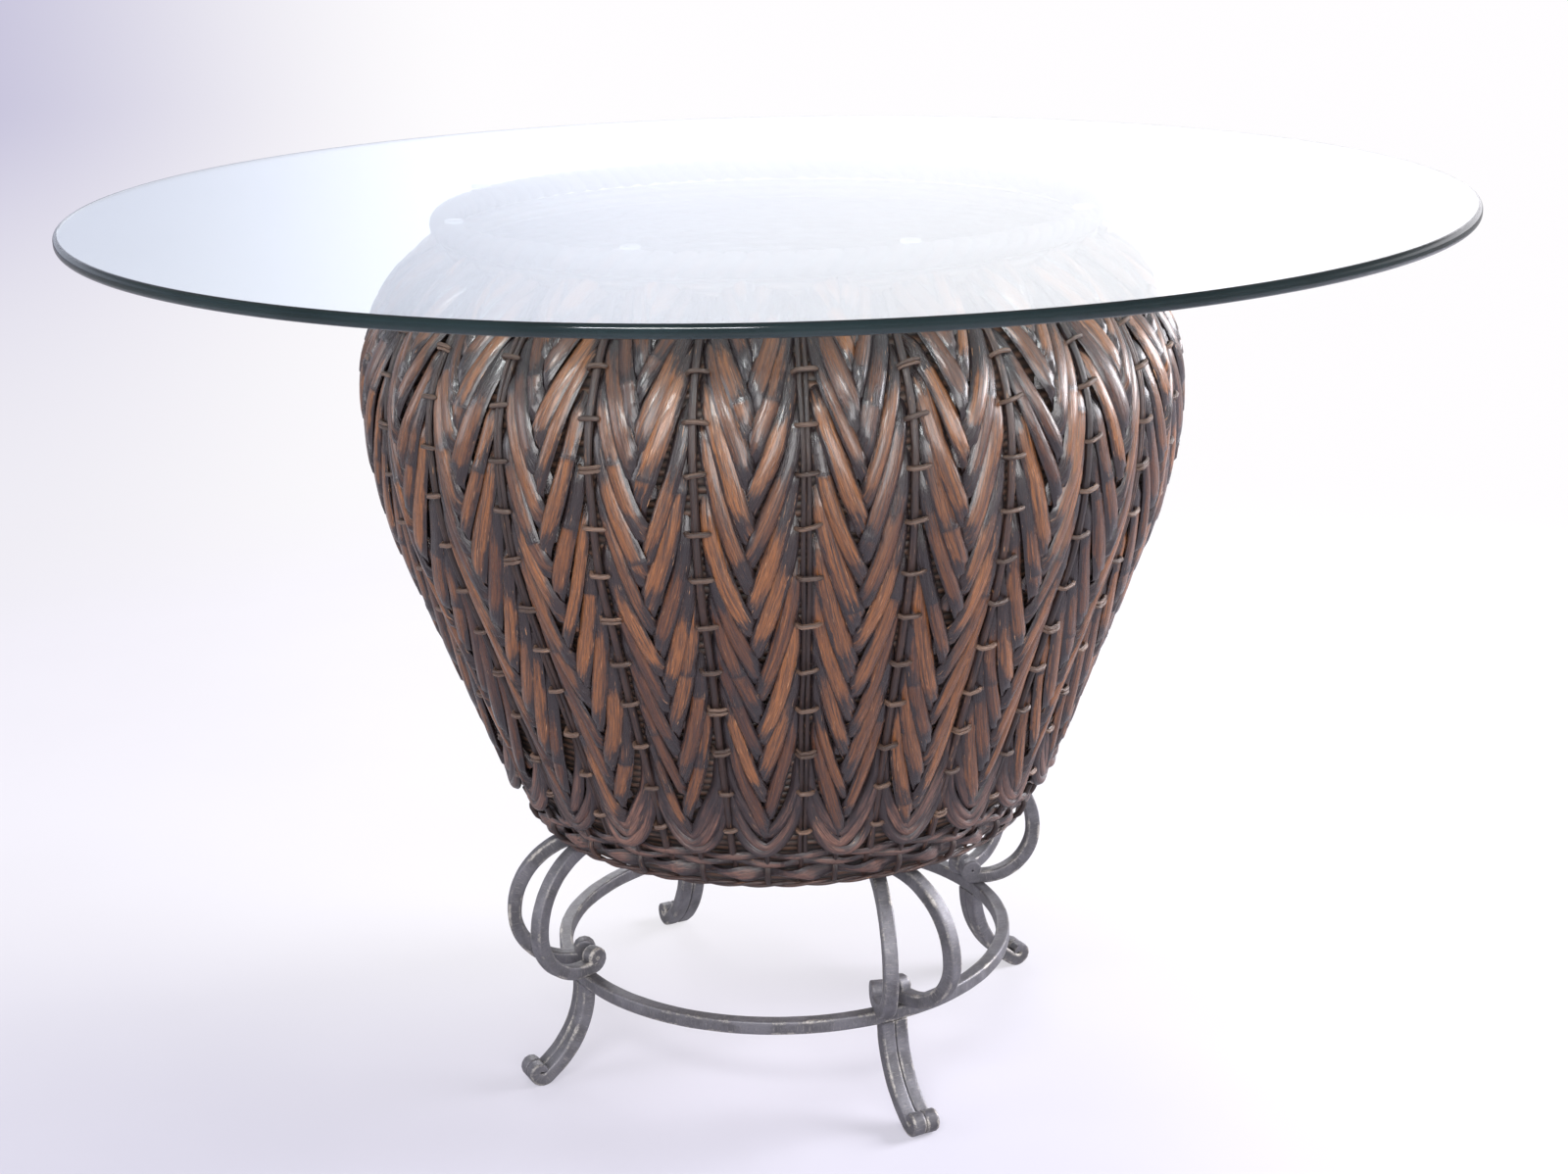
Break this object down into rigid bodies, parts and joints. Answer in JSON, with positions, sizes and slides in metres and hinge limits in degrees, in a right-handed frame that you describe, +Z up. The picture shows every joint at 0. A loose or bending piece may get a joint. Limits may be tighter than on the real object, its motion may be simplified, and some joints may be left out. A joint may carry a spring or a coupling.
{
  "type": "display table",
  "caption": "Round display table: a loose glass top on a bulging herringbone-woven basket, carried by a forged iron base of a hoop, curled leg bars and C-scrolls.",
  "frame": {"origin": "on the floor at the centre of the base, under the centre of the glass top", "axes": "+Z up; -Y is the side that faces the viewer in the picture and +X is the viewer's right"},
  "size_m": [1.158, 1.158, 0.762],
  "materials": {
    "glass": "clear, polished, with a rounded blue-green edge",
    "clear_pad": "clear, soft",
    "rim_cane": "dark stained cane, satin",
    "ply_cane": "dark stained weave, matt",
    "stake_cane": "dark stained round reed, satin",
    "tie_reed": "tan round reed, satin",
    "strand_cane": "red-brown stained half-round cane, satin",
    "floor_board": "plain board, matt",
    "iron": "forged square bar, dark grey with worn lighter edges",
    "screw_steel": "plain steel"
  },
  "bodies": {
    "table_base": {"glass_pads": "clear_pad", "rim": "rim_cane", "inner_ply": "ply_cane", "stakes": "stake_cane", "stake_ties": "tie_reed", "strands_01": "strand_cane", "strands_02": "strand_cane", "strands_03": "strand_cane", "strands_04": "strand_cane", "strands_05": "strand_cane", "strands_06": "strand_cane", "strands_07": "strand_cane", "strands_08": "strand_cane", "strands_09": "strand_cane", "strands_10": "strand_cane", "strands_11": "strand_cane", "strands_12": "strand_cane", "strands_13": "strand_cane", "strands_14": "strand_cane", "foot_stakes": "stake_cane", "foot_row_upper": "strand_cane", "foot_row_lower": "strand_cane", "foot_border": "strand_cane", "foot_edge": "rim_cane", "basket_floor": "floor_board", "floor_ring": "iron", "floor_screws": "screw_steel", "base_hoop": "iron", "leg_1_left": "iron", "leg_1_right": "iron", "leg_2_left": "iron", "leg_2_right": "iron", "leg_3_left": "iron", "leg_3_right": "iron", "leg_4_left": "iron", "leg_4_right": "iron", "scroll_1_left": "iron", "scroll_1_right": "iron", "scroll_2_left": "iron", "scroll_2_right": "iron", "scroll_3_left": "iron", "scroll_3_right": "iron", "scroll_4_left": "iron", "scroll_4_right": "iron"},
    "glass": {"glass_top": "glass"}
  },
  "joints": [
    {"name": "glass_lift", "type": "slide", "parent": "table_base", "child": "glass", "axis": [0, 0, 1], "range_m": [0, 0.25]}
  ]
}
